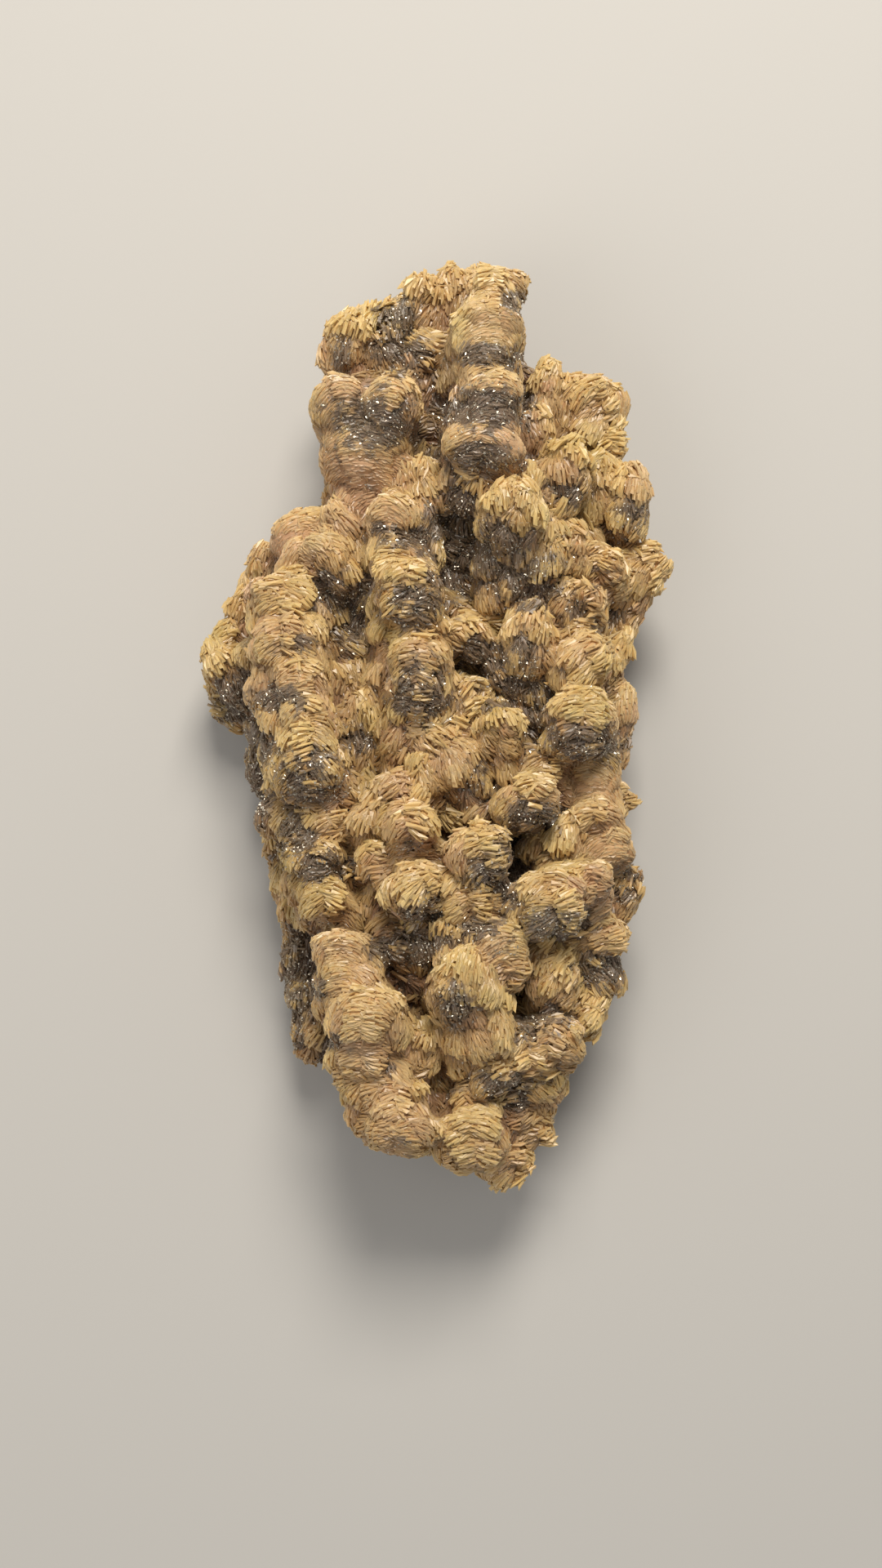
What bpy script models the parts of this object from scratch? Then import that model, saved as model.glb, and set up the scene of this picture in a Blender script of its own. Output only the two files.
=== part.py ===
"""Barite with pyrite: a natural cluster of knobbly barite columns, grown together as one piece.

The cluster lies on its broken-off back, which is flat. +Y runs to the crown of the specimen, +X to its
right side and +Z to the viewer. Every column is a stack of fan-shaped lumps of thin barite blades. A lump
is a pleated ellipsoid whose ridges run from pole to pole, and its root reaches down into the core.
"""

import math
import random

import bmesh
import bpy
from mathutils import Vector

for old in list(bpy.data.objects):
    bpy.data.objects.remove(old)

MM = 0.001

# The specimen was measured as seen from a camera above its front. What stands nearer to the camera looks
# larger and further out, and true_place() takes that out again.
CAMERA_ABOVE = (1.8, -10.6)
CAMERA_DISTANCE = 420.0
MEASURED_PLANE = 26.0

# The middle of the cluster's box, in the coordinates that it was measured in
BOX_MIDDLE = (0.35, 0.75)

# The core that carries every lump
CORE_TOP = 20.0
CORE_TOP_SHARE = 0.93
CORE_OUTLINE = [
    (12, 86.5), (15, 80), (14, 70), (24, 66), (31, 60), (36, 46), (38, 32), (34, 20), (33, 10), (35, 2),
    (33, -12), (35, -24), (35, -34), (33, -44), (29, -52), (27, -60), (22, -70), (18, -80), (13, -86),
    (4, -82), (-7, -79), (-11, -72), (-16, -62), (-22, -58), (-24, -46), (-24, -34), (-28, -22), (-30, -6),
    (-36, 2), (-40, 12), (-34, 22), (-30, 34), (-18, 42), (-17, 56), (-17, 70), (-12, 79), (1, 86.5),
]

# The core reaches this far under the flat back before it is cut off
BREAK_DEPTH = 1.5
GROUND_SIZE = 400.0
TRIANGLES = 9100

# A lump's shape
FRONT_MERIDIANS = 9
BACK_MERIDIANS = 3
RINGS = (-58, -20, 20, 58)
BLUNTNESS = 0.78
GROOVE = 0.12
UNEVENNESS = 0.05
OVERLAP = 1.04
HIGHEST_CAP = 8.0
CAP_SHARE = 0.9
ROOT_FLOOR = 4.0
ROOT_DEPTH = 26.0
ROOT_PULL = 0.22

# A neck joins two lumps that follow each other in a column
LONGEST_NECK = 15.0
NECK_SHARE = 0.93
NECK_DROP = 1.0

# Low lumps all over the core's top, which show at the bottom of the crevices
FLOOR_SPACING = 8.5
FLOOR_RADIUS = 5.8
FLOOR_TOPS = (24.0, 28.0)

# The lumps low on the flanks, spaced along the core's outline
FLANK_SPACING = 10.5
FLANK_RADIUS = 6.2
FLANK_OUTSET = -0.8
FLANK_HEIGHTS = (11.0, 15.0)

# Each lump as seen from the front: left, right, low, high, top, and the angle of its strands, which is the
# direction from pole to pole, in degrees anticlockwise from +X
CROWN_COLUMN = [
    (8, 20.3, 84, 92.6, 40, 0), (0, 8, 84, 92.3, 28, 90), (3, 19.5, 76.5, 85, 46, 0),
    (4, 17.5, 69.5, 77.5, 46, 0), (5, 19.5, 60, 71.5, 48, 5), (1, 20, 50, 61.5, 48, -10),
    (1, 13, 43, 55, 40, 80), (2, 9, 56, 70, 42, 85), (2, 9, 68, 82, 38, 88), (2.5, 9.5, 36, 46, 30, 80),
    (2.5, 9.5, 26, 37, 28, 95),
]
UPPER_LEFT = [
    (-25.5, -12, 57, 71, 42, 12), (-14, -2, 57, 71, 44, -12), (-22, -5, 47, 60, 37, 0),
    (-22.5, -17, 43, 51, 28, 70), (-23, -11, 69, 83, 34, 80), (-12, -6, 78, 86.5, 22, 60),
    (-11, -1, 69, 80, 23, 40), (-7, 1.5, 78, 91, 33, 75), (-3, 3, 60, 80, 26, 90), (-5, 2.5, 28, 54, 38, 92),
]
UPPER_RIGHT = [
    (18, 27.5, 56, 73.5, 34, 80), (25.5, 36.5, 58, 70, 32, 50), (28.5, 39, 51.5, 62, 28, 20),
    (20.5, 33, 43, 58, 40, 75), (34, 44.5, 37, 52.5, 32, 85), (31, 37, 48, 54, 28, 45),
    (8, 24.5, 35.5, 51, 48, 88), (8, 22, 25.5, 40, 38, 70), (20, 28, 28, 40, 38, 80),
    (26, 32, 31, 42, 36, 100), (31, 40, 29, 37, 34, -30), (37, 47.5, 25, 37, 26, 38),
    (28, 35, 22, 31, 38, 20), (21, 31, 19.5, 29, 34, 60), (33, 44, 17, 29, 24, 50), (37, 43, 34, 42, 26, 60),
]
LEFT_SHOULDER = [
    (-34, -20, 32, 44.5, 30, 20), (-22, -12.5, 28, 46, 35, -65), (-27, -13, 27, 38.5, 38, -40),
    (-32, -24, 28, 38, 33, 60), (-38.3, -32, 26, 38, 22, 70), (-42, -34, 15, 29, 23, 75),
    (-47, -36.5, 4.5, 17.5, 24, -60), (-45, -36, -2, 8, 14, -30), (-20, -12, 12, 30, 32, 85),
]
LEFT_COLUMN = [
    (-38.5, -22.5, 20, 31.5, 40, 0), (-37.5, -21, 10, 22, 42, 0), (-33, -20, 3, 14, 43, 5),
    (-38, -28, 1, 13, 37, 80), (-31.5, -18.5, -5, 6.5, 43, 0), (-33, -16, -16, -2, 43, 0),
    (-24, -15, -17, -9, 38, 20), (-35, -26, -23, -8, 33, 50), (-28, -15, -25, -15.5, 36, 40),
    (-29, -17.5, -31, -22.5, 38, 10), (-27, -15.5, -39, -29, 36, 5), (-21, -13.5, -41, -32, 32, -20),
]
LEFT_FLANK = [
    (-38, -30, -15, 1, 21, 80), (-35, -27, -30, -17, 19, 80), (-32, -24, -43, -32, 20, 85),
    (-31.5, -23, -52, -41, 18, 80), (-30, -22, -60, -49, 17, 80), (-29.5, -19, -67, -57, 17, 60),
]
INNER_COLUMN = [
    (-14.5, -2.5, 36.5, 47.5, 42, 0), (-13, -1.5, 30, 39, 41, 0), (-12, 3, 20.5, 33.5, 46, 5),
    (-15, -9, 20, 29, 30, 60), (-14, -8, 13, 24, 32, 85), (-8, 4.5, 15, 23, 41, 10),
    (-10, 5, 9.5, 18, 45, 0), (-9.5, 4, 2, 12, 44, -5), (-13.5, -7.5, 4, 14, 34, 80),
    (-18.5, -11, -5, 8, 34, 85), (-18, -10, -9, 1, 33, 80), (-11.5, -4, -5, 6.5, 38, 85),
]
CENTRE = [
    (3, 8, 21, 26.5, 32, 30), (6.5, 13.5, 19.5, 24, 32, 10), (2, 14, 13.5, 22.5, 38, -30),
    (4, 10, 10, 17, 28, -30), (13.5, 26, 10, 25, 42, 85), (11, 18.5, 4, 14.5, 36, -55),
    (18, 25, -3, 12, 34, 90), (9, 19.5, -9, 6, 42, 110), (12, 18.5, -14, -2, 38, 95),
    (1.5, 11.5, 0, 10.5, 38, 45), (-4.5, 11, -17, 1.5, 40, -50), (-1, 9, -24, -14, 27, -40),
]
RIGHT_SIDE = [
    (24, 36, 6.5, 19, 42, 35), (34, 40.5, 7, 20, 25, 70), (22.5, 38, -7, 8.5, 44, 0),
    (35, 42, -7, 8.7, 25, 80), (36, 41.5, -9, -1.5, 24, 70), (17.5, 30.5, -10.5, -2, 37, 5),
    (12.5, 27, -20.5, -9, 47, 8), (26, 37, -15.5, -7, 34, 10), (33, 41.5, -19.5, -9.5, 26, 30),
    (26, 39.5, -22, -13.5, 37, 0), (29, 42, -30, -19, 35, 10), (17, 25.5, -30.5, -19.5, 34, 80),
    (23.5, 30.5, -29, -16.5, 38, 75), (15, 31.5, -42, -27.5, 48, 20), (27, 37.5, -35, -25.5, 44, 0),
    (31, 37, -38.5, -32, 38, 10), (35, 42, -41, -26.5, 28, 60),
]
MIDDLE_COLUMN = [
    (3, 15.8, -31.5, -18.3, 50, 22), (1.5, 13.5, -38.5, -28.5, 46, 10), (4.5, 13.5, -42, -35.5, 42, 0),
    (8.5, 20, -53.5, -37.5, 46, 15), (-0.5, 5.5, -47, -37.5, 42, 85), (3.5, 9.5, -47, -39.5, 42, 80),
    (-2, 14, -60.5, -44.5, 48, 80), (4.5, 17.5, -67, -51, 44, 95), (2.5, 12.5, -70.5, -58.5, 38, 85),
]
LOWER_CENTRE = [
    (-12.5, -2.5, -15.5, -8, 40, 20), (-4.5, 2.5, -15.5, -4.5, 40, 90), (-9.5, 1.5, -24.5, -14.5, 46, 5),
    (-16.5, -8.5, -25, -12.5, 38, 60), (-16.5, -11, -17.5, -7.5, 34, 80), (-16.5, -7.5, -31.5, -22.5, 38, 20),
    (-9.5, 2.5, -38.5, -26, 48, 30), (-15.5, -7.5, -40, -29.5, 32, 60), (-12.5, 0.5, -47.5, -39.5, 38, -20),
    (-12.5, 0.5, -54, -44.5, 28, -30), (-8.5, 3.5, -59, -49.5, 26, -45),
]
LOWER_LEFT_COLUMN = [
    (-25.3, -11.7, -49.5, -39.2, 44, 0), (-24.5, -8.5, -56, -45.5, 45, -5), (-21.5, -4.5, -66.5, -51, 48, -5),
    (-21.5, -4.5, -73, -61.5, 43, -5), (-8, 2.5, -71, -57.5, 38, 80), (-14.5, 0.5, -78, -68.5, 42, 0),
    (-14.5, 1.5, -85.5, -74, 44, -3),
]
LOWER_RIGHT = [
    (27.5, 40.2, -46.5, -36.5, 34, 20), (26.5, 40, -53, -43.5, 30, -45), (18.5, 30.5, -57.5, -44.5, 38, 65),
    (27, 35.2, -64, -51.5, 30, 50), (14.5, 21, -67, -57.5, 38, 20), (17.5, 31.5, -69.5, -57.5, 38, 0),
    (6.5, 18.5, -73.5, -65.5, 38, 25), (15.5, 28, -76.5, -65.5, 32, -35), (16.5, 25.3, -84, -74.5, 26, 20),
    (2.5, 12.5, -77, -69, 34, 10), (-0.5, 16, -88.3, -75, 38, 5), (13, 19, -84, -76, 29, 40),
    (7.5, 20.3, -92.8, -81.5, 26, 30), (-4, 5, -85.5, -77, 22, 40),
]
GROUPS = (
    CROWN_COLUMN, UPPER_LEFT, UPPER_RIGHT, LEFT_SHOULDER, LEFT_COLUMN, LEFT_FLANK, INNER_COLUMN,
    CENTRE, RIGHT_SIDE, MIDDLE_COLUMN, LOWER_CENTRE, LOWER_LEFT_COLUMN, LOWER_RIGHT,
)


def make_material(name, colour, roughness):
    """A plain finish; the colour is in linear RGB."""
    material = bpy.data.materials.new(name)
    material.use_nodes = True
    shader = material.node_tree.nodes["Principled BSDF"]
    shader.inputs["Base Color"].default_value = (*colour, 1.0)
    shader.inputs["Roughness"].default_value = roughness
    shader.inputs["Metallic"].default_value = 0.0
    return material


def true_place(x, y, z):
    """A point as seen in the measured view, moved to where it really is at height z."""
    nearness = 1.0 - (z - MEASURED_PLANE) / CAMERA_DISTANCE
    return (
        CAMERA_ABOVE[0] + (x - CAMERA_ABOVE[0]) * nearness,
        CAMERA_ABOVE[1] + (y - CAMERA_ABOVE[1]) * nearness,
    )


def add_object(name, shape, collection):
    """A mesh object from a bmesh measured in millimetres."""
    bmesh.ops.scale(shape, vec=(MM, MM, MM), verts=shape.verts)
    bmesh.ops.recalc_face_normals(shape, faces=shape.faces)
    mesh = bpy.data.meshes.new(name)
    shape.to_mesh(mesh)
    shape.free()
    made = bpy.data.objects.new(name, mesh)
    collection.objects.link(made)
    return made


def meridian_angles():
    """Angles about a lump's axis: many over its front half, few over its buried half."""
    front = [180.0 * i / (FRONT_MERIDIANS - 1) for i in range(FRONT_MERIDIANS)]
    back = [180.0 + 180.0 * (i + 1) / (BACK_MERIDIANS + 1) for i in range(BACK_MERIDIANS)]
    return [math.radians(angle) for angle in front + back]


def add_lump(name, left, right, low, high, top, angle, chance, collection):
    """One pleated lump, which fills the box that it was measured by."""
    half_x = (right - left) / 2
    half_y = (high - low) / 2
    turn = math.radians(angle)
    along = half_x * math.cos(turn) ** 2 + half_y * math.sin(turn) ** 2
    across = half_x * math.sin(turn) ** 2 + half_y * math.cos(turn) ** 2
    diagonal = 0.15 * math.sin(2 * turn) ** 2
    along *= 1 + diagonal
    across *= (1 - diagonal) * OVERLAP
    cap = min(CAP_SHARE * max(along, across), HIGHEST_CAP)
    middle = top - cap
    root = min(middle - ROOT_FLOOR, ROOT_DEPTH)
    x, y = true_place((left + right) / 2, (low + high) / 2, middle)

    shape = bmesh.new()
    angles = meridian_angles()

    def place(along_axis, across_axis, height):
        up = height * (cap if height > 0 else root)
        pull = 1 + ROOT_PULL * min(height, 0.0)
        east = x + (along_axis * math.cos(turn) - across_axis * math.sin(turn))
        north = y + (along_axis * math.sin(turn) + across_axis * math.cos(turn))
        return shape.verts.new(Vector((east * pull, y + (north - y) * pull, middle + up)))

    first = place(-along, 0.0, 0.0)
    last = place(along, 0.0, 0.0)
    rings = []
    for latitude in RINGS:
        round_axis = []
        for number, about in enumerate(angles):
            depth = 1 - GROOVE * (number % 2) - chance.uniform(0, UNEVENNESS)
            reach = math.cos(math.radians(latitude)) ** BLUNTNESS * depth
            height = math.sin(about) * reach
            slide = along * (math.sin(math.radians(latitude)) + chance.uniform(-UNEVENNESS, UNEVENNESS))
            round_axis.append(place(slide, across * math.cos(about) * reach, height))
        rings.append(round_axis)
    count = len(angles)
    for step in range(count):
        following = (step + 1) % count
        shape.faces.new((first, rings[0][following], rings[0][step]))
        shape.faces.new((last, rings[-1][step], rings[-1][following]))
        for lower, upper in zip(rings, rings[1:]):
            quad = (lower[step], lower[following], upper[following], upper[step])
            shape.faces.new(quad)
    bmesh.ops.triangulate(shape, faces=shape.faces)
    return add_object(name, shape, collection)


def add_core(name, collection):
    """The core: a low block with the cluster's outline, flat underneath."""
    shape = bmesh.new()
    floor = []
    lid = []
    for x, y in CORE_OUTLINE:
        floor.append(shape.verts.new((x, y, -BREAK_DEPTH)))
        lid.append(shape.verts.new((x * CORE_TOP_SHARE, y * CORE_TOP_SHARE, CORE_TOP)))
    shape.faces.new(floor)
    shape.faces.new(lid)
    count = len(CORE_OUTLINE)
    for step in range(count):
        following = (step + 1) % count
        shape.faces.new((floor[step], floor[following], lid[following], lid[step]))
    return add_object(name, shape, collection)


def neck_between(one, other):
    """A lump half way between two lumps, smaller and lower than both, or None where they are far apart."""
    reach = math.hypot(one[0] + one[1] - other[0] - other[1], one[2] + one[3] - other[2] - other[3]) / 2
    if reach > LONGEST_NECK:
        return None
    left, right, low, high = [(a + b) / 2 for a, b in zip(one[:4], other[:4])]
    shrink_x = (right - left) * (1 - NECK_SHARE) / 2
    shrink_y = (high - low) * (1 - NECK_SHARE) / 2
    top = min(one[4], other[4]) - NECK_DROP
    box = (left + shrink_x, right - shrink_x, low + shrink_y, high - shrink_y)
    return (*box, top, (one[5] + other[5]) / 2)


def inside_core(x, y):
    """Whether a point lies within the top of the core."""
    crossings = 0
    corners = [(a * CORE_TOP_SHARE, b * CORE_TOP_SHARE) for a, b in CORE_OUTLINE]
    for (ax, ay), (bx, by) in zip(corners, corners[1:] + corners[:1]):
        if (ay > y) != (by > y) and x < ax + (y - ay) * (bx - ax) / (by - ay):
            crossings += 1
    return crossings % 2 == 1


def floor_rows(chance):
    """The low lumps, on a staggered grid over the core."""
    rows = []
    for line in range(-12, 13):
        for place in range(-6, 7):
            x = (place + 0.5 * (line % 2)) * FLOOR_SPACING
            y = line * FLOOR_SPACING * math.sin(math.radians(60))
            if inside_core(x, y):
                radius = FLOOR_RADIUS
                box = (x - radius, x + radius, y - radius, y + radius)
                rows.append((*box, chance.uniform(*FLOOR_TOPS), chance.uniform(0, 180)))
    return rows


def flank_places():
    """Points every FLANK_SPACING along the core's outline, moved outwards a little."""
    walked = 0.0
    places = []
    for start, end in zip(CORE_OUTLINE, CORE_OUTLINE[1:] + CORE_OUTLINE[:1]):
        run = Vector(end) - Vector(start)
        outward = Vector((-run.y, run.x)).normalized()
        while walked < run.length:
            at = Vector(start) + run.normalized() * walked + outward * FLANK_OUTSET
            places.append((at.x, at.y, math.degrees(math.atan2(run.y, run.x))))
            walked += FLANK_SPACING
        walked -= run.length
    return places


def add_ground_block(name, collection):
    """A block under z = 0 that cuts the cluster's back flat."""
    shape = bmesh.new()
    bmesh.ops.create_cube(shape, size=GROUND_SIZE)
    bmesh.ops.translate(shape, vec=(0, 0, -GROUND_SIZE / 2), verts=shape.verts)
    block = add_object(name, shape, collection)
    block.hide_render = True
    block.display_type = "WIRE"
    return block


def add_outer_skin(name, fused, collection):
    """The outer skin of a fused object, in triangles and without the pockets that it encloses."""
    view = bpy.context.evaluated_depsgraph_get()
    shape = bmesh.new()
    shape.from_mesh(fused.evaluated_get(view).to_mesh())
    highest = max(shape.verts, key=lambda vertex: vertex.co.z)
    skin = {highest.link_faces[0]}
    rim = [highest.link_faces[0]]
    while rim:
        for edge in rim.pop().edges:
            fresh = [face for face in edge.link_faces if face not in skin]
            skin.update(fresh)
            rim.extend(fresh)
    pockets = [face for face in shape.faces if face not in skin]
    bmesh.ops.delete(shape, geom=pockets, context="FACES")
    bmesh.ops.scale(shape, vec=(1 / MM, 1 / MM, 1 / MM), verts=shape.verts)
    bmesh.ops.triangulate(shape, faces=shape.faces)
    return add_object(name, shape, collection)


scene = bpy.context.scene
lumps = bpy.data.collections.new("lumps")
scene.collection.children.link(lumps)
chance = random.Random(5)

core = add_core("core", scene.collection)
rows = [row for group in GROUPS for row in group]
rows += [neck_between(*pair) for group in GROUPS for pair in zip(group, group[1:])]
rows += floor_rows(chance)
for number, row in enumerate(filter(None, rows)):
    add_lump(f"lump_{number:03d}", *row, chance, lumps)
for number, (x, y, along_edge) in enumerate(flank_places()):
    radius = FLANK_RADIUS
    height = chance.uniform(*FLANK_HEIGHTS)
    box = (x - radius, x + radius, y - radius, y + radius)
    add_lump(f"flank_{number:03d}", *box, height + 5, along_edge, chance, lumps)

fuse = core.modifiers.new("fuse the lumps", "BOOLEAN")
fuse.operation = "UNION"
fuse.operand_type = "COLLECTION"
fuse.collection = lumps
fuse.solver = "EXACT"
whole = add_outer_skin("whole cluster", core, scene.collection)

faceting = whole.modifiers.new("larger facets", "DECIMATE")
faceting.ratio = TRIANGLES / len(whole.data.polygons)
faceting.use_collapse_triangulate = True
break_off = whole.modifiers.new("flat back", "BOOLEAN")
break_off.operation = "DIFFERENCE"
break_off.object = add_ground_block("ground block", scene.collection)
break_off.solver = "EXACT"

specimen = add_outer_skin("barite_pyrite_specimen", whole, scene.collection)
specimen.data.materials.append(make_material("golden brown barite", (0.40, 0.25, 0.10), 0.7))
specimen.location = (-BOX_MIDDLE[0] * MM, -BOX_MIDDLE[1] * MM, 0.0)
for tool in [*lumps.objects, core, whole, break_off.object]:
    bpy.data.objects.remove(tool)
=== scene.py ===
"""Barite with pyrite: the looks of a natural cluster of knobbly, shaggy barite columns.

The cluster lies on its flat broken back and the camera looks straight down on its front. All of it is
one grown-together stone, made here as a fused body, the thin barite blades that stand on it, and the
pyrite grains that dust the blades.
"""

import math
import random

import bmesh
import bpy
import mathutils
import numpy as np
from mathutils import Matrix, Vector


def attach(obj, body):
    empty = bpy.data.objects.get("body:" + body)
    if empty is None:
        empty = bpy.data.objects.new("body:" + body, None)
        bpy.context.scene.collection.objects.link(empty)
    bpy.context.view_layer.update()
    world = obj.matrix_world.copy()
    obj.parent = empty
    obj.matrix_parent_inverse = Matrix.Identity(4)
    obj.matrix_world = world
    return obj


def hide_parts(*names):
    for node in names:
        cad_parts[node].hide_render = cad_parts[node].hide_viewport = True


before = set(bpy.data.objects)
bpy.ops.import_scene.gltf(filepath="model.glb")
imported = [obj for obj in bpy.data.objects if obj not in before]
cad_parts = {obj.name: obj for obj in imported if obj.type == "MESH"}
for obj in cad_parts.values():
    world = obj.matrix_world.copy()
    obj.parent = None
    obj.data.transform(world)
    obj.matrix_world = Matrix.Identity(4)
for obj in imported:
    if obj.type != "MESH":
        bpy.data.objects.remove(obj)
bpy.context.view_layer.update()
scene = bpy.context.scene

# The camera stands straight above the specimen's front, as the photograph looks at it. Its picture takes
# in 310 mm from top to bottom, 26 mm above the floor, about half way up the specimen's thickness.
MM = 0.001
BOX_MIDDLE = (0.35, 0.75)
CAMERA_ABOVE = (1.8, -10.6)
CAMERA_DISTANCE = 420.0
MEASURED_PLANE = 26.0
PICTURE_HEIGHT = 310.0

camera = bpy.data.objects.new("camera", bpy.data.cameras.new("camera"))
camera.data.sensor_fit = "VERTICAL"
camera.data.sensor_height = 36.0
camera.data.lens = camera.data.sensor_height * CAMERA_DISTANCE / PICTURE_HEIGHT
camera.location = (
    (CAMERA_ABOVE[0] - BOX_MIDDLE[0]) * MM,
    (CAMERA_ABOVE[1] - BOX_MIDDLE[1]) * MM,
    (MEASURED_PLANE + CAMERA_DISTANCE) * MM,
)
scene.collection.objects.link(camera)
scene.camera = camera

# The lumps of the cluster, each a fan of blades grown from one point. Each row is a lump as seen from the
# front, in millimetres: left, right, low, high, top, and the angle of its blades anticlockwise from +X.
CROWN_COLUMN = [
    (8, 20.3, 84, 92.6, 40, 0), (-1.5, 9.5, 82, 92.3, 30, 90), (3, 19.5, 76.5, 85, 46, 0),
    (4, 17.5, 69.5, 77.5, 46, 0), (5, 19.5, 60, 71.5, 48, 5), (1, 20, 50, 61.5, 48, -10),
    (1, 13, 43, 55, 40, 80), (2, 9, 56, 70, 42, 85), (2, 9, 68, 82, 38, 88), (2.5, 9.5, 36, 46, 30, 80),
    (2.5, 9.5, 26, 37, 28, 95),
]
UPPER_LEFT = [
    (-25.5, -12.5, 58, 71, 42, 14), (-23.5, -3.5, 46, 62, 40, 0), (-13.5, -2, 58, 71.5, 44, -14),
    (-22.5, -17, 43, 51, 28, 70), (-23, -11, 69, 83, 34, 80), (-12, -6, 78, 86.5, 22, 60),
    (-11, -1, 69, 80, 23, 40), (-7, 1.5, 78, 91, 33, 75), (-3, 3, 60, 80, 26, 90), (-5, 2.5, 28, 54, 38, 92),
]
UPPER_RIGHT = [
    (18, 27.5, 56, 73.5, 34, 80), (25.5, 36.5, 58, 70, 32, 50), (28.5, 39, 51.5, 62, 28, 20),
    (20.5, 33, 43, 58, 40, 75), (34, 44.5, 37, 52.5, 32, 85), (31, 37, 48, 54, 28, 45),
    (9.3, 23, 36, 49.8, 48, 88), (8, 22, 25.5, 40, 38, 70), (20, 28, 28, 40, 38, 80),
    (26, 32, 31, 42, 36, 100), (31, 40, 29, 37, 34, -30), (37, 47.5, 25, 37, 26, 38),
    (28, 35, 22, 31, 38, 20), (21, 31, 19.5, 29, 34, 60), (33, 44, 17, 29, 24, 50), (37, 43, 34, 42, 26, 60),
]
LEFT_SHOULDER = [
    (-34, -20, 32, 44.5, 30, 20), (-22, -12.5, 28, 46, 35, -65), (-27, -13, 27, 38.5, 38, -40),
    (-32, -24, 28, 38, 33, 60), (-38.3, -32, 26, 38, 22, 70), (-42, -34, 15, 29, 23, 75),
    (-47, -36.5, 4.5, 17.5, 24, -60), (-45, -36, -2, 8, 14, -30), (-20, -12, 12, 29, 28, 85),
]
LEFT_COLUMN = [
    (-38.5, -22.5, 20, 31.5, 40, 0), (-37.5, -21, 10, 22, 42, 0), (-33, -20, 3, 14, 43, 5),
    (-38, -28, 1, 13, 37, 80), (-31.5, -18.5, -5, 6.5, 43, 0), (-33, -16, -16, -2, 43, 0),
    (-24, -15, -17, -9, 38, 20), (-35, -26, -23, -8, 33, 50), (-28, -15, -25, -15.5, 36, 40),
    (-29, -17.5, -31, -22.5, 38, 10), (-27, -15.5, -39, -29, 36, 5), (-21, -13.5, -41, -32, 32, -20),
]
LEFT_FLANK = [
    (-38, -30, -15, 1, 21, 80), (-35, -27, -30, -17, 19, 80), (-32, -24, -43, -32, 20, 85),
    (-31.5, -23, -52, -41, 18, 80), (-30, -22, -60, -49, 17, 80), (-29.5, -19, -67, -57, 17, 60),
]
INNER_COLUMN = [
    (-14.5, -2.5, 36.5, 47.5, 42, 0), (-13, -1.5, 30, 39, 41, 0), (-12, 3, 20.5, 33.5, 46, 5),
    (-15, -9, 20, 29, 30, 60), (-14, -8, 13, 24, 32, 85), (-8, 4.5, 15, 23, 41, 10),
    (-10, 5, 9.5, 18, 45, 0), (-9.5, 4, 2, 12, 44, -5), (-13.5, -7.5, 4, 14, 34, 80),
    (-18.5, -11, -5, 8, 34, 85), (-18, -10, -9, 1, 33, 80), (-11.5, -4, -5, 6.5, 38, 85),
]
CENTRE = [
    (3, 8, 21, 26.5, 32, 30), (6.5, 13.5, 19.5, 24, 32, 10), (2, 14, 13.5, 22.5, 38, -30),
    (4, 10, 10, 17, 28, -30), (13.5, 26, 10, 25, 42, 85), (11, 18.5, 4, 14.5, 36, -55),
    (18, 25, -3, 12, 34, 90), (9, 19.5, -9, 6, 42, 110), (12, 18.5, -14, -2, 38, 95),
    (1.5, 11.5, 0, 10.5, 38, 45), (-4.5, 11, -17, 1.5, 40, -50), (-1, 9, -24, -14, 27, -40),
]
RIGHT_SIDE = [
    (24, 36, 6.5, 19, 42, 35), (34, 40.5, 7, 20, 25, 70), (22.5, 38, -7, 8.5, 44, 0),
    (35, 42, -7, 8.7, 25, 80), (36, 41.5, -9, -1.5, 24, 70), (17.5, 30.5, -10.5, -2, 37, 5),
    (12.5, 27, -20.5, -9, 47, 8), (26, 37, -15.5, -7, 34, 10), (33, 41.5, -19.5, -9.5, 26, 30),
    (26, 39.5, -22, -13.5, 37, 0), (29, 42, -30, -19, 35, 10), (17, 25.5, -30.5, -19.5, 34, 80),
    (23.5, 30.5, -29, -16.5, 38, 75), (15, 31.5, -42, -27.5, 48, 20), (27, 37.5, -35, -25.5, 44, 0),
    (31, 37, -38.5, -32, 38, 10), (35, 42, -41, -26.5, 28, 60),
]
MIDDLE_COLUMN = [
    (3, 15.8, -31.5, -18.3, 50, 22), (1.5, 13.5, -38.5, -28.5, 46, 10), (4.5, 13.5, -42, -35.5, 42, 0),
    (8.5, 20, -53.5, -37.5, 46, 15), (-0.5, 5.5, -47, -37.5, 42, 85), (3.5, 9.5, -47, -39.5, 42, 80),
    (-2, 14, -60.5, -44.5, 48, 80), (4.5, 17.5, -67, -51, 44, 95), (2.5, 12.5, -70.5, -58.5, 38, 85),
]
LOWER_CENTRE = [
    (-12.5, -2.5, -15.5, -8, 40, 20), (-4.5, 2.5, -15.5, -4.5, 40, 90), (-9.5, 1.5, -24.5, -14.5, 46, 5),
    (-16.5, -8.5, -25, -12.5, 38, 60), (-16.5, -11, -17.5, -7.5, 34, 80), (-16.5, -7.5, -31.5, -22.5, 38, 20),
    (-9.5, 2.5, -38.5, -26, 48, 30), (-15.5, -7.5, -40, -29.5, 32, 60), (-12.5, 0.5, -47.5, -39.5, 38, -20),
    (-12.5, 0.5, -54, -44.5, 28, -30), (-8.5, 3.5, -59, -49.5, 26, -45),
]
LOWER_LEFT_COLUMN = [
    (-25.3, -11.7, -49.5, -39.2, 44, 0), (-24.5, -8.5, -56, -45.5, 45, -5), (-21.5, -4.5, -66.5, -51, 48, -5),
    (-21.5, -4.5, -73, -61.5, 43, -5), (-8, 2.5, -71, -57.5, 38, 80), (-14.5, 0.5, -78, -68.5, 42, 0),
    (-14.5, 1.5, -85.5, -74, 44, -3),
]
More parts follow.
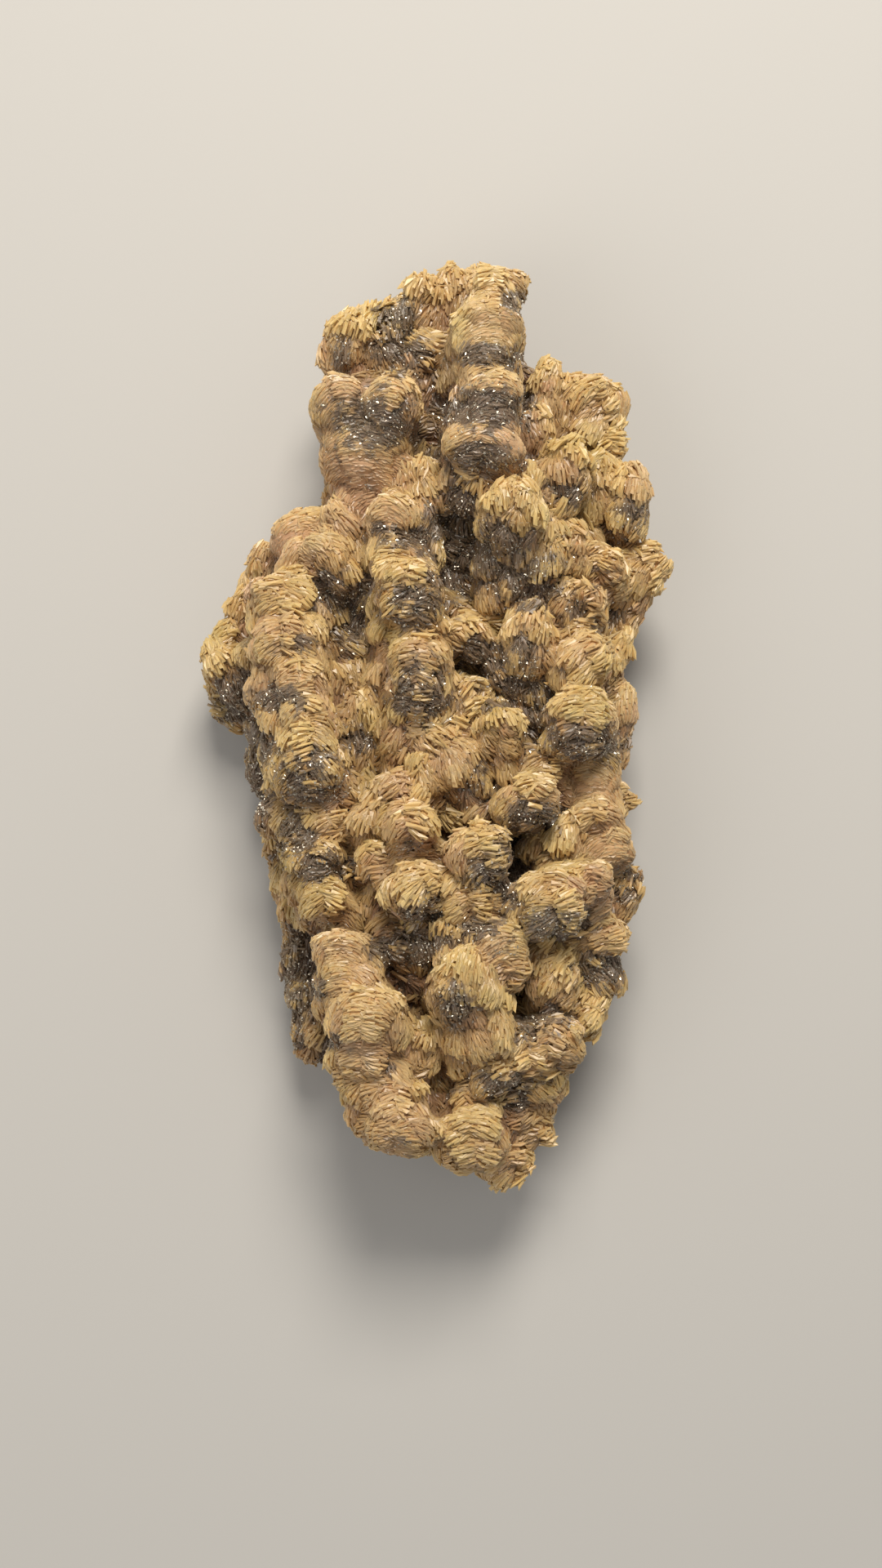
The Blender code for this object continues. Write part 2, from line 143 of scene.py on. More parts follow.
LOWER_RIGHT = [
    (27.5, 40.2, -46.5, -36.5, 34, 20), (26.5, 40, -53, -43.5, 30, -45), (18.5, 30.5, -57.5, -44.5, 38, 65),
    (27, 35.2, -64, -51.5, 30, 50), (14.5, 21, -67, -57.5, 38, 20), (17.5, 31.5, -69.5, -57.5, 38, 0),
    (6.5, 18.5, -73.5, -65.5, 38, 25), (15.5, 28, -76.5, -65.5, 32, -35), (16.5, 25.3, -84, -74.5, 26, 20),
    (2.5, 12.5, -77, -69, 34, 10), (-0.5, 16, -88.3, -75, 38, 5), (13, 19, -84, -76, 29, 40),
    (10, 20.3, -92.8, -81.5, 26, 30), (-4, 5, -85.5, -77, 22, 40),
]
TRUNKS = [
    (4.5, 19, 43, 91, 44, 0), (-22.5, -5, 46, 64, 38, 0), (-5, 8, 78, 89, 31, 85), (-9, 1, -5, 6, 37, 0),
    (-10, -1.5, 44, 53, 35, 80), (-36, -20, -17, 31, 39, 0), (-31, -17, -40, -12, 34, 5),
    (-13, -2, 2, 47, 39, 0), (8, 27, 22, 52, 40, 80), (-10, 1, -38, -11, 41, 20), (3, 15, -44, -19, 45, 15),
    (0, 16, -68, -43, 43, 85), (-24, -9, -62, -41, 42, -5), (-18, -3, -84, -60, 41, -5),
    (24, 39, -32, 8, 34, 0), (18, 33, -44, -26, 40, 20), (14, 30, -72, -56, 34, 10), (22, 37, 42, 70, 30, 60),
    (18, 36, 0, 22, 35, 40), (-19, -10, 41, 50, 34, 30), (-12, -4, -9, -2, 35, 60),
    (7, 15, -21, -13, 35, 40), (-6, 2, -42, -35, 37, 20), (17, 26, -48, -41, 37, 60),
    (17, 25, 52, 64, 36, 85), (0, 9, -23, -14, 33, -40), (-10, 0, -54, -45, 33, -30),
]
GROUPS = (
    CROWN_COLUMN, UPPER_LEFT, UPPER_RIGHT, LEFT_SHOULDER, LEFT_COLUMN, LEFT_FLANK, INNER_COLUMN,
    CENTRE, RIGHT_SIDE, MIDDLE_COLUMN, LOWER_CENTRE, LOWER_LEFT_COLUMN, LOWER_RIGHT,
)
CORE_TOP = 20.0
CORE_TOP_SHARE = 0.93
CORE_OUTLINE = [
    (12, 86.5), (15, 80), (14, 70), (24, 66), (31, 60), (36, 46), (38, 32), (34, 20), (33, 10), (35, 2),
    (33, -12), (35, -24), (35, -34), (33, -44), (29, -52), (27, -60), (22, -70), (18, -80), (13, -86),
    (4, -82), (-7, -79), (-11, -72), (-16, -62), (-22, -58), (-24, -46), (-24, -34), (-28, -22), (-30, -6),
    (-36, 2), (-40, 12), (-34, 22), (-30, 34), (-18, 42), (-17, 56), (-17, 70), (-12, 79), (1, 86.5),
]
CORE_FOOT = -1.5
DIAGONAL_STRETCH = 0.15
HIGHEST_CAP = 8.0
CAP_SHARE = 0.9
ROOT_FLOOR = 4.0
ROOT_DEPTH = 26.0
ROOT_PULL = 0.22
LONGEST_NECK = 15.0
NECK_SHARE = 0.93
NECK_DROP = 1.0
CREVICE_LINES = 12
CREVICE_PLACES = 6
CREVICE_SPACING = 8.5
CREVICE_RADIUS = 5.8
CREVICE_TOPS = (27.0, 32.0)
FLANK_SPACING = 10.5
FLANK_RADIUS = 6.2
FLANK_OUTSET = -0.8
FLANK_TOPS = (11.0, 15.0)
FLANK_CAP = 5
PLACING_SEED = 5


def neck_between(one, other):
    """A lump half way between two lumps, smaller and lower than both, or None where they are far apart."""
    reach = math.hypot(one[0] + one[1] - other[0] - other[1], one[2] + one[3] - other[2] - other[3]) / 2
    if reach > LONGEST_NECK:
        return None
    left, right, low, high = [(a + b) / 2 for a, b in zip(one[:4], other[:4])]
    shrink_x = (right - left) * (1 - NECK_SHARE) / 2
    shrink_y = (high - low) * (1 - NECK_SHARE) / 2
    top = min(one[4], other[4]) - NECK_DROP
    box = (left + shrink_x, right - shrink_x, low + shrink_y, high - shrink_y)
    return (*box, top, (one[5] + other[5]) / 2)


def inside_core(x, y):
    """Whether a point lies within the top of the core."""
    crossings = 0
    corners = [(a * CORE_TOP_SHARE, b * CORE_TOP_SHARE) for a, b in CORE_OUTLINE]
    for (ax, ay), (bx, by) in zip(corners, corners[1:] + corners[:1]):
        if (ay > y) != (by > y) and x < ax + (y - ay) * (bx - ax) / (by - ay):
            crossings += 1
    return crossings % 2 == 1


def crevice_rows(chance):
    """The low lumps at the bottom of the crevices, on a staggered grid over the core."""
    rows = []
    for line in range(-CREVICE_LINES, CREVICE_LINES + 1):
        for place in range(-CREVICE_PLACES, CREVICE_PLACES + 1):
            x = (place + 0.5 * (line % 2)) * CREVICE_SPACING
            y = line * CREVICE_SPACING * math.sin(math.radians(60))
            if inside_core(x, y):
                box = (x - CREVICE_RADIUS, x + CREVICE_RADIUS, y - CREVICE_RADIUS, y + CREVICE_RADIUS)
                rows.append((*box, chance.uniform(*CREVICE_TOPS), chance.uniform(0, 180)))
    return rows


def flank_rows(chance):
    """The low lumps around the cluster's sides, spaced along the core's outline."""
    walked = 0.0
    rows = []
    for start, end in zip(CORE_OUTLINE, CORE_OUTLINE[1:] + CORE_OUTLINE[:1]):
        run = Vector(end) - Vector(start)
        outward = Vector((-run.y, run.x)).normalized()
        while walked < run.length:
            x, y = Vector(start) + run.normalized() * walked + outward * FLANK_OUTSET
            box = (x - FLANK_RADIUS, x + FLANK_RADIUS, y - FLANK_RADIUS, y + FLANK_RADIUS)
            angle = math.degrees(math.atan2(run.y, run.x))
            rows.append((*box, chance.uniform(*FLANK_TOPS) + FLANK_CAP, angle))
            walked += FLANK_SPACING
        walked -= run.length
    return rows


chance = random.Random(PLACING_SEED)
placed_rows = [row for group in GROUPS for row in group]
neck_rows = [neck_between(*pair) for group in GROUPS for pair in zip(group, group[1:])]
lump_rows = TRUNKS + placed_rows + [row for row in neck_rows if row]
lump_rows += crevice_rows(chance) + flank_rows(chance)

left, right, low, high, top, angle = np.array(lump_rows).T
turn = np.radians(angle)
half_x = (right - left) / 2
half_y = (high - low) / 2
diagonal = DIAGONAL_STRETCH * np.sin(2 * turn) ** 2
along = (half_x * np.cos(turn) ** 2 + half_y * np.sin(turn) ** 2) * (1 + diagonal)
across = (half_x * np.sin(turn) ** 2 + half_y * np.cos(turn) ** 2) * (1 - diagonal)
cap = np.minimum(CAP_SHARE * np.maximum(along, across), HIGHEST_CAP)
middle = top - cap
root = np.minimum(middle - ROOT_FLOOR, ROOT_DEPTH)
nearness = 1.0 - (middle - MEASURED_PLANE) / CAMERA_DISTANCE
lump_x = CAMERA_ABOVE[0] + ((left + right) / 2 - CAMERA_ABOVE[0]) * nearness
lump_y = CAMERA_ABOVE[1] + ((low + high) / 2 - CAMERA_ABOVE[1]) * nearness

# The fused body: massive barite under and between the blades, grown as one piece. It is a shade smaller
# than the lumps, so that the blades on it reach the lumps' full size. Narrow grooves between neighbours
# have grown shut, and behind it was broken off the rock along low steps.
BODY_INSET = 1.1
LUMP_ROUNDING = 0.78
BODY_VOXEL = 0.9
GROWN_SHUT = 0.45
LEAN_UP = 0.42


def lump_mesh(shape, number, columns=20, rings=9):
    """One smooth lump, in millimetres, rounded above its middle and drawn out to its root below."""
    rise = cap[number] - BODY_INSET
    wide = np.array((along[number], across[number])) - BODY_INSET
    cosine, sine = math.cos(turn[number]), math.sin(turn[number])

    def corner(latitude, about):
        reach = math.cos(latitude) ** LUMP_ROUNDING
        s = wide[0] * math.sin(latitude)
        t = wide[1] * math.cos(about) * reach
        h = math.sin(about) * reach
        pull = 1 + ROOT_PULL * min(h, 0.0)
        x = (lump_x[number] + s * cosine - t * sine) * pull
        y = lump_y[number] + (s * sine + t * cosine) * pull + LEAN_UP * half_y[number] * h
        return shape.verts.new((x, y, middle[number] + h * (rise if h > 0 else root[number])))

    poles = [corner(-math.pi / 2, 0), corner(math.pi / 2, 0)]
    rows = []
    for ring in range(1, rings):
        latitude = math.pi * (ring / rings - 0.5)
        rows.append([corner(latitude, 2 * math.pi * column / columns) for column in range(columns)])
    for column in range(columns):
        after = (column + 1) % columns
        shape.faces.new((poles[0], rows[0][after], rows[0][column]))
        shape.faces.new((poles[1], rows[-1][column], rows[-1][after]))
        for lower, upper in zip(rows, rows[1:]):
            shape.faces.new((lower[column], lower[after], upper[after], upper[column]))


def core_mesh(shape):
    """The low block that carries the lumps."""
    floor = [shape.verts.new((x, y, CORE_FOOT)) for x, y in CORE_OUTLINE]
    lid = [shape.verts.new((x * CORE_TOP_SHARE, y * CORE_TOP_SHARE, CORE_TOP)) for x, y in CORE_OUTLINE]
    shape.faces.new(floor)
    shape.faces.new(lid)
    count = len(floor)
    for step in range(count):
        after = (step + 1) % count
        shape.faces.new((floor[step], floor[after], lid[after], lid[step]))


shape = bmesh.new()
core_mesh(shape)
for number in range(len(lump_rows)):
    lump_mesh(shape, number)
bmesh.ops.translate(shape, vec=(-BOX_MIDDLE[0], -BOX_MIDDLE[1], 0), verts=shape.verts)
bmesh.ops.scale(shape, vec=(MM, MM, MM), verts=shape.verts)
bmesh.ops.recalc_face_normals(shape, faces=shape.faces)
lumps_mesh = bpy.data.meshes.new("lumps")
shape.to_mesh(lumps_mesh)
shape.free()
body = bpy.data.objects.new("barite_body", lumps_mesh)
scene.collection.objects.link(body)
for swelling in (GROWN_SHUT, -GROWN_SHUT, 0.0):
    fuse = body.modifiers.new("fuse", "REMESH")
    fuse.mode = "VOXEL"
    fuse.voxel_size = BODY_VOXEL * MM
    if swelling:
        swell = body.modifiers.new("swell", "DISPLACE")
        swell.mid_level = 0.0
        swell.strength = swelling * MM


def plain_mesh(made, name):
    """The object's evaluated shape as a plain mesh of its own, with its modifiers taken off."""
    view = bpy.context.evaluated_depsgraph_get()
    mesh = bpy.data.meshes.new_from_object(made.evaluated_get(view))
    mesh.name = name
    made.modifiers.clear()
    made.data = mesh
    return mesh


def waves(places, wavelength):
    """Smooth noise from -1 to 1 at each place, with features about as wide as the wavelength."""
    return np.array([mathutils.noise.noise(place) for place in places / wavelength])


def unit(vectors):
    """The vectors at length one."""
    return vectors / np.maximum(np.linalg.norm(vectors, axis=1, keepdims=True), 1e-6)


def along_surface(vectors, normals):
    """The vectors' direction along a surface with these normals."""
    return unit(vectors - normals * np.sum(vectors * normals, axis=1, keepdims=True))


def surface_normals(mesh):
    """The mesh's vertex normals, one row each."""
    flat = np.empty(len(mesh.vertices) * 3, dtype=np.float32)
    mesh.vertex_normals.foreach_get("vector", flat)
    return flat.reshape(-1, 3).astype(float)


body_mesh = plain_mesh(body, "barite_body")
points = np.empty(len(body_mesh.vertices) * 3, dtype=np.float32)
body_mesh.vertices.foreach_get("co", points)
points = points.reshape(-1, 3).astype(float) / MM + (*BOX_MIDDLE, 0)
normals = surface_normals(body_mesh)

# Blades droop to both sides over a level lump and hang down below it, and where a lump stands upright they
# spread like a fan; all sway a little from their neighbours. In degrees; the sway has its width in
# millimetres first.
DROOP = 45.0
DROOP_SOONER = 1.6
HANG = 40.0
FAN = 28.0
SWAY = ((9.0, 20.0), (3.0, 6.0))
SWAY_START = 70.0
HANGS_FROM = 0.35
HEIGHT_LIMIT = 1.2


def nearest_lump(places):
    """The number of the lump that each place lies on, and how far along and across it, from -1 to 1."""
    best = np.full(len(places), 1e9)
    which = np.zeros(len(places), dtype=int)
    lengthways = np.zeros(len(places))
    sideways = np.zeros(len(places))
    for number in range(len(lump_rows)):
        height = places[:, 2] - middle[number]
        h = np.where(height > 0, height / cap[number], height / root[number])
        h = np.clip(h, -HEIGHT_LIMIT, HEIGHT_LIMIT)
        pull = 1 + ROOT_PULL * np.clip(h, -1, 0)
        east = places[:, 0] / pull - lump_x[number]
        north = (places[:, 1] - lump_y[number] - LEAN_UP * half_y[number] * h) / pull
        s = (east * math.cos(turn[number]) + north * math.sin(turn[number])) / along[number]
        t = (north * math.cos(turn[number]) - east * math.sin(turn[number])) / across[number]
        size = s * s + t * t + h * h
        closer = size < best
        best[closer] = size[closer]
        which[closer] = number
        lengthways[closer] = s[closer]
        sideways[closer] = t[closer]
    return which, lengthways, sideways


on_lump, share_along, share_across = nearest_lump(points)
uphill = np.where(np.sin(turn) >= 0, 1.0, -1.0)
level = np.cos(turn[on_lump]) ** 2
below = np.clip(-share_across * np.sign(np.cos(turn[on_lump])), 0, 1)
bent = turn[on_lump] - np.radians(DROOP + HANG * below) * np.tanh(DROOP_SOONER * share_along) * level
bent -= math.radians(FAN) * share_across * (uphill * np.sin(turn) ** 2)[on_lump]
bent += sum(math.radians(size) * waves(points + SWAY_START, wavelength) for wavelength, size in SWAY)
axis = np.stack((np.cos(bent), np.sin(bent), np.zeros_like(bent)), axis=1)
steepness = np.abs(np.sin(turn))[on_lump]
up_the_picture = uphill[on_lump]
away = np.sign(share_along * up_the_picture - HANGS_FROM * steepness)
strand = along_surface(axis, normals) * (up_the_picture * np.where(away == 0, 1, away))[:, None]
sink = (lump_y[on_lump] - points[:, 1]) / np.maximum(across, along)[on_lump]

# Patches as seen from the front, in millimetres: middle x and y, half their width and height, strength.
# Pyrite settled on the lower sides of the lumps, some lumps are calm, with blades that lie close, and a
# few edges are cream.
PYRITE_PATCHES = [
    (16, 85.5, 3.5, 2, 0.8), (12, 75.2, 6.5, 2.2, 1), (11, 64.5, 7.5, 4.5, 1), (10, 54.5, 7.5, 3, 0.9),
    (5.5, 40, 3.5, 11, 1), (-12, 61, 8, 5.5, 0.9), (-20, 64, 3, 3, 0.5), (-18.5, 74, 2, 3.5, 0.8),
    (-7, 79, 4, 7, 1), (-2, 75, 2, 4, 0.8), (27, 47.5, 4, 3, 0.8), (40, 43, 3.5, 3, 0.8), (12, 39, 4, 3, 0.7),
    (14, 34, 6, 5.5, 0.9), (19, 30, 6, 5.5, 0.9), (24, 31, 4, 5, 0.8), (31, 30, 3, 4, 0.5),
    (28, 23, 3, 3, 0.7), (35, 22, 4, 3, 0.5), (18, 12, 4, 6, 0.8), (21, 5, 3, 7, 0.9), (9, 15.5, 3.5, 3, 0.9),
    (14, 10, 4, 5, 1), (-14.5, -1, 3, 3, 0.8), (31, -2.5, 8, 3.5, 1), (28, 9, 5, 2.5, 0.5),
    (20, -17.5, 5.5, 2.6, 1), (15, -27, 3.5, 8, 1), (25, -38.2, 7, 3, 1), (34.5, -47.5, 5.5, 3.5, 1),
    (39, -31, 3.5, 5, 0.6), (11.5, -29, 4, 3, 1), (8.5, -39.5, 4.5, 2.6, 0.9), (2, -42, 2.5, 3, 0.7),
    (15, -43, 3, 2.5, 0.6), (4.5, -54.5, 3, 4, 0.9), (-2, -36, 4, 3, 1), (8, -10, 3.5, 4, 0.8),
    (-6.5, -43.5, 5.5, 3, 1), (-8, 38.5, 4, 2.5, 0.8), (-4, 25, 5.5, 4, 0.9), (-2.5, 8, 5.5, 6, 0.9),
    (-0.5, 38, 3, 8, 0.8), (-27, 17, 4, 3, 0.5), (-31, 6, 6, 3, 0.8), (-24, -9, 6.5, 6.5, 0.8),
    (-22, -27, 5, 3, 1), (-27.5, -21.5, 4, 5, 0.9), (-35, -8, 3, 11, 0.9), (-27.5, -50, 3, 11, 1),
    (-40, 5, 4, 5, 0.9), (-16, 24, 3.5, 8, 0.9), (-21, 28, 3.5, 4, 0.8), (-20, -62, 1.8, 2, 0.9),
    (-11, -67.5, 3.5, 1.8, 0.6), (-6, -82, 5, 1.8, 0.5), (-22.5, -51, 1.5, 2, 0.9), (15, -71, 5, 2.5, 1),
    (17, -74.5, 3, 2, 0.9), (23, -70, 3, 1.5, 0.5), (8, -80, 4, 2, 0.4), (13, -87, 4, 2, 0.4),
    (19, -60, 3, 3, 0.8), (24, -58, 4, 2.5, 0.8), (6, -71, 3, 3, 0.5),
]
CALM_PATCHES = [
    (11, 80, 7, 4, 1), (16, 56, 4, 4, 1), (11, 63, 9, 8, 0.75), (-13, 60, 11, 9, 0.85), (12, 88, 5, 3, 0.7),
    (11, 69.5, 6, 2, 0.8), (-13, 69, 9, 3, 0.8), (-13, 51, 7, 6, 0.9), (-28, 39, 7, 5, 0.9),
    (-8, 43, 5, 3, 0.8), (31, -11, 6, 4, 1), (36, -24, 5, 4, 0.9), (39, 3, 3, 6, 0.9), (-19, -44, 6, 5, 0.6),
    (-16, -52, 7, 5, 0.4), (-13, -61, 7, 4, 0.4), (13, -44, 5, 4, 0.6), (34, -35, 4, 3, 0.7),
    (-29, 12, 6, 6, 0.4), (-6, -80, 6, 4, 0.4),
]
CREAM_PATCHES = [(-10, 82.5, 4.5, 2, 1.2), (-4.5, 89.5, 2, 1.5, 1), (6, 81, 1, 3.5, 1), (38, 58, 3, 6, 0.8)]
PATCH_FULL = 1.5
PATCH_FADE = 0.8
closeness = 1.0 - (points[:, 2] - MEASURED_PLANE) / CAMERA_DISTANCE
seen_x = CAMERA_ABOVE[0] + (points[:, 0] - CAMERA_ABOVE[0]) / closeness
seen_y = CAMERA_ABOVE[1] + (points[:, 1] - CAMERA_ABOVE[1]) / closeness


def patched(patches, share):
    """The share raised to each patch's strength within it, fading out around it."""
    for x, y, half_width, half_height, strength in patches:
        away_from = np.hypot((seen_x - x) / half_width, (seen_y - y) / half_height)
        share = np.maximum(share, strength * np.clip(PATCH_FULL - PATCH_FADE * away_from, 0, 1))
    return share


calm = patched(CALM_PATCHES, np.zeros(len(points)))

# Small fans share each lump's surface: the blades of one spread from its root, and its free end stands
# over the root of the next. Each is about as wide as FAN_SIZE, in millimetres. Finer relief runs over
# them, and the broken back has low steps.
FAN_SIZE = 6.6
FAN_RISE = 1.6
FAN_ROUND = 1.1
FAN_GROOVE = 0.12
FAN_ROOT = 0.55
FAN_SHARE = 0.5
CALM_LEVEL = 0.75
TONE_DRAW = (12.9, 78.2, 37.7)
TONE_SPREAD = 43.7
RELIEF = ((9.0, 0.8), (2.4, 0.35))
RELIEF_FROM = 1.0
BREAK_EDGE = 0.5
BREAK_STEP = 0.35
BREAK_SHARP = 0.7
BREAK_ROUND = 0.3
BREAK_STEPS = ((15.0, 3.0), (3.2, 0.9))
BREAK_START = 40.0
WITHIN_BOX = (0.984, 0.991, 0.988)

cells = [mathutils.noise.voronoi(place) for place in points / FAN_SIZE]
fan_middle = np.array([nearest[0] for distances, nearest in cells]) * FAN_SIZE
fan_edge = np.array([distances[1] - distances[0] for distances, nearest in cells])
from_middle = (points - fan_middle) / FAN_SIZE
reach = np.clip(np.sum(from_middle * strand, axis=1) / 0.5, -1, 1)
fanned = unit(along_surface(from_middle + FAN_ROOT * strand, normals))
unruly = FAN_SHARE * (1 - calm)[:, None]
strand = along_surface(unruly * fanned + (1 - unruly) * strand, normals)
fan_tone = np.modf(np.abs(np.sin(fan_middle @ TONE_DRAW) * TONE_SPREAD))[0]
swell = FAN_RISE * 0.5 * reach - FAN_ROUND * np.exp(-fan_edge / FAN_GROOVE)
relief = sum(height * waves(points, wavelength) for wavelength, height in RELIEF)
swell = swell * (1 - CALM_LEVEL * calm) + relief
points += normals * np.where(points[:, 2] > RELIEF_FROM, swell, 0.0)[:, None]
stepped = sum(height * waves(points * (1, 1, 0) + BREAK_START, wide) for wide, height in BREAK_STEPS)
terrace = np.round(stepped / BREAK_STEP) * BREAK_STEP * BREAK_SHARP + BREAK_ROUND * stepped
broken = np.clip(terrace, 0.0, BREAK_EDGE * 2)
points[:, 2] = np.where(points[:, 2] < BREAK_EDGE, broken, points[:, 2])
points = (points - (*BOX_MIDDLE, 0)) * WITHIN_BOX
body_mesh.vertices.foreach_set("co", (points * MM).astype(np.float32).ravel())
body_mesh.update()
normals = surface_normals(body_mesh)
strand = along_surface(strand, normals)

# How pale, dusted, shaded and deep each place is. The lumps' upper edges and the fans' free ends get a
# painted highlight, and a few edges are cream; pyrite and painted shade gather on what faces down the
# picture; and a place is deep, and gets painted shade, where the surface around it, on a map of cells in
# millimetres, is much higher.
CREST_GAIN, CREST_START = -1.3, -0.2
CREST_TIPS, FAN_TIPS = 0.8, 0.9
CREASE_WIDTH = 0.1
CREASE_CALM = 0.8
DUST_DOWN, DUST_FACING, DUST_START = 0.45, 0.4, 0.1
DUST_MOST = 0.6
DUST_OFF_TIPS, DUST_CALM = 0.3, 0.6
DUST_LIMIT = 1.2
DUST_DEEP = 0.22
SHADE_DOWN, SHADE_START, SHADE_FACING, SHADE_OFF_TIPS, SHADE_CREASE = 0.6, 0.2, 0.4, 0.4, 0.5
MAP_CELL = 1.5
MAP_CORNER = (60.0, 110.0)
MAP_CELLS = (80, 147)
MAP_REACH = 4
DEEP_FROM = 1.0
DEEP_AT = 8.5
TIPS_UNRULY = 1.2
GRAIN_ALONG = 3.5
GRAIN_ACROSS = 0.7
LUMP_SHIFT = 3.7

# Painted highlight on the lumps' upper edges and the fans' free ends, taken out of the grooves between fans;
# the cream patches are the stone's own colour.
crest = np.clip(CREST_GAIN * sink + CREST_START, 0, 1)
groove = np.exp(-fan_edge / CREASE_WIDTH)
tips = np.clip(np.maximum(CREST_TIPS * crest, FAN_TIPS * reach * (1 - calm)) - groove, 0, 1)
tips = patched(CREAM_PATCHES, tips)
dusted = np.clip(DUST_DOWN * sink - DUST_FACING * normals[:, 1] - DUST_START, 0, DUST_MOST)
pyrite = patched(PYRITE_PATCHES, dusted)
pyrite = np.clip(pyrite - DUST_OFF_TIPS * reach * (1 - DUST_CALM * calm), 0, DUST_LIMIT)
crease = groove * (1 - CREASE_CALM * calm)
# Painted shade: darker down each lump, on what faces down the picture away from the key light and in the
# creases between fans, less at the fans' free ends.
under = SHADE_DOWN * sink + SHADE_START - SHADE_FACING * normals[:, 1]
under = np.clip(under - SHADE_OFF_TIPS * reach + SHADE_CREASE * crease, 0, 1)
# Painted shade in the crevices: a place counts as deep, and is darkened, where the surface around it is
# higher.
map_x = ((points[:, 0] + MAP_CORNER[0]) / MAP_CELL).astype(int)
map_y = ((points[:, 1] + MAP_CORNER[1]) / MAP_CELL).astype(int)
heights = np.zeros(MAP_CELLS)
np.maximum.at(heights, (map_x, map_y), points[:, 2])
shifts = range(-MAP_REACH, MAP_REACH + 1)
around = sum(np.roll(heights, (i, j), (0, 1)) for i in shifts for j in shifts) / len(shifts) ** 2
deep = np.clip((around[map_x, map_y] - points[:, 2] - DEEP_FROM) / (DEEP_AT - DEEP_FROM), 0, 1)
pyrite = pyrite + DUST_DEEP * deep
comb_along = share_along * along[on_lump] / GRAIN_ALONG
comb_across = share_across * across[on_lump] / GRAIN_ACROSS
comb = np.stack((comb_along, comb_across, on_lump * LUMP_SHIFT), axis=1)


def store(mesh, name, values):
    """One value or vector for each vertex of a mesh."""
    kind = "FLOAT" if values.ndim == 1 else "FLOAT_VECTOR"
    key = "value" if values.ndim == 1 else "vector"
    attribute = mesh.attributes.new(name, kind, "POINT")
    attribute.data.foreach_set(key, np.ascontiguousarray(values, dtype=np.float32).ravel())


for name, values in (
    ("strand", strand), ("pyrite_share", pyrite), ("calm", calm - TIPS_UNRULY * tips), ("tone", fan_tone),
    ("deep", deep), ("comb", comb), ("crest", tips), ("under", under), ("smooth", np.clip(calm, 0, 1)),
):
    store(body_mesh, name, values)


def linear(hex_colour):
    """An sRGB hex colour as linear RGBA."""
    channels = [int(hex_colour[i : i + 2], 16) / 255 for i in (1, 3, 5)]
    return (*[c / 12.92 if c <= 0.04045 else ((c + 0.055) / 1.055) ** 2.4 for c in channels], 1.0)


def add_node(tree, kind, settings=None, inputs=None):
    """Adds a node with its settings; an input is set to a value, or linked from another node's socket."""
    node = tree.nodes.new(kind)
    for name, value in (settings or {}).items():
        setattr(node, name, value)
    for key, value in (inputs or {}).items():
        socket = node.inputs[key]
        if isinstance(value, bpy.types.NodeSocket):
            tree.links.new(value, socket)
        else:
            socket.default_value = value
    return node


def finish_tree(name, roughness, ior=1.5):
    """A new material: its tree, its Principled shader and its object coordinates in millimetres."""
    material = bpy.data.materials.new(name)
    material.use_nodes = True
    tree = material.node_tree
    tree.nodes.clear()
    shader = add_node(tree, "ShaderNodeBsdfPrincipled", {}, {"Roughness": roughness, "IOR": ior})
    add_node(tree, "ShaderNodeOutputMaterial", {}, {"Surface": shader.outputs["BSDF"]})
    place = add_node(tree, "ShaderNodeTexCoord").outputs["Object"]
    scaled = add_node(tree, "ShaderNodeVectorMath", {"operation": "SCALE"}, {0: place, "Scale": 1000.0})
    return material, tree, shader, scaled.outputs["Vector"]


def stains_and_painted_light(tree, place, stone, own):
    """The stone's colour with its stains, its painted shade and painted highlight, and its pyrite coat."""
    blend = {"data_type": "RGBA"}
    smooth = {"interpolation_type": "SMOOTHSTEP"}
    shares = {
        name: add_node(tree, "ShaderNodeAttribute", {"attribute_name": name}).outputs["Fac"]
        for name in ("tone", "deep", "pyrite_share", "crest", "under", "smooth")
    }
    wide = add_node(
        tree, "ShaderNodeTexNoise", {}, {"Vector": place, "Scale": 1 / OLIVE_WIDTH, "Detail": 2.0}
    ).outputs["Fac"]
    rosy, olive = [
        add_node(
            tree, "ShaderNodeMapRange", smooth, {"Value": value, "From Min": least, "From Max": most}
        ).outputs["Result"]
        for value, (least, most) in ((shares["tone"], ROSY_RANGE), (wide, OLIVE_RANGE))
    ]
    # Stains and tones first, then painted shade in the deep places and on the lower sides, and last the
    # painted highlight on the crests, with the cream patches.
    for share, (colour, most) in (
        (rosy, ROSY), (olive, OLIVE), (shares["smooth"], SMOOTH), (shares["deep"], DEPTHS_SHADE),
        (shares["under"], UNDERSIDE_SHADE), (shares["crest"], CREST_HIGHLIGHT_AND_CREAM),
    ):
        shown = add_node(tree, "ShaderNodeMath", {"operation": "MULTIPLY"}, {0: share, 1: most}).outputs[0]
        stone = add_node(tree, "ShaderNodeMix", blend, {0: shown, 6: stone, 7: linear(colour)}).outputs[2]
    coat = shares["pyrite_share"]
    speckle = add_node(
        tree, "ShaderNodeTexNoise", {}, {"Vector": place, "Scale": 1 / SPECKLE_WIDTH, "Detail": 5.0}
    ).outputs["Fac"]
    for unevenness, most in ((speckle, SPECKLE_SHARE), (own, OWN_SHARE)):
        jagged = add_node(
            tree, "ShaderNodeMath", {"operation": "MULTIPLY_ADD"}, {0: unevenness, 1: most, 2: -most / 2}
        ).outputs[0]
        coat = add_node(tree, "ShaderNodeMath", {"operation": "ADD"}, {0: coat, 1: jagged}).outputs[0]
    cover = add_node(
        tree, "ShaderNodeMapRange", smooth,
        {"Value": coat, "From Min": COAT_RANGE[0], "From Max": COAT_RANGE[1], "To Max": COAT_MOST},
    ).outputs["Result"]
    dust = add_node(
        tree, "ShaderNodeMix", blend, {0: own, 6: linear(DARK_COAT), 7: linear(GREY_COAT)}
    ).outputs[2]
    return add_node(tree, "ShaderNodeMix", blend, {0: cover, 6: stone, 7: dust}).outputs[2]
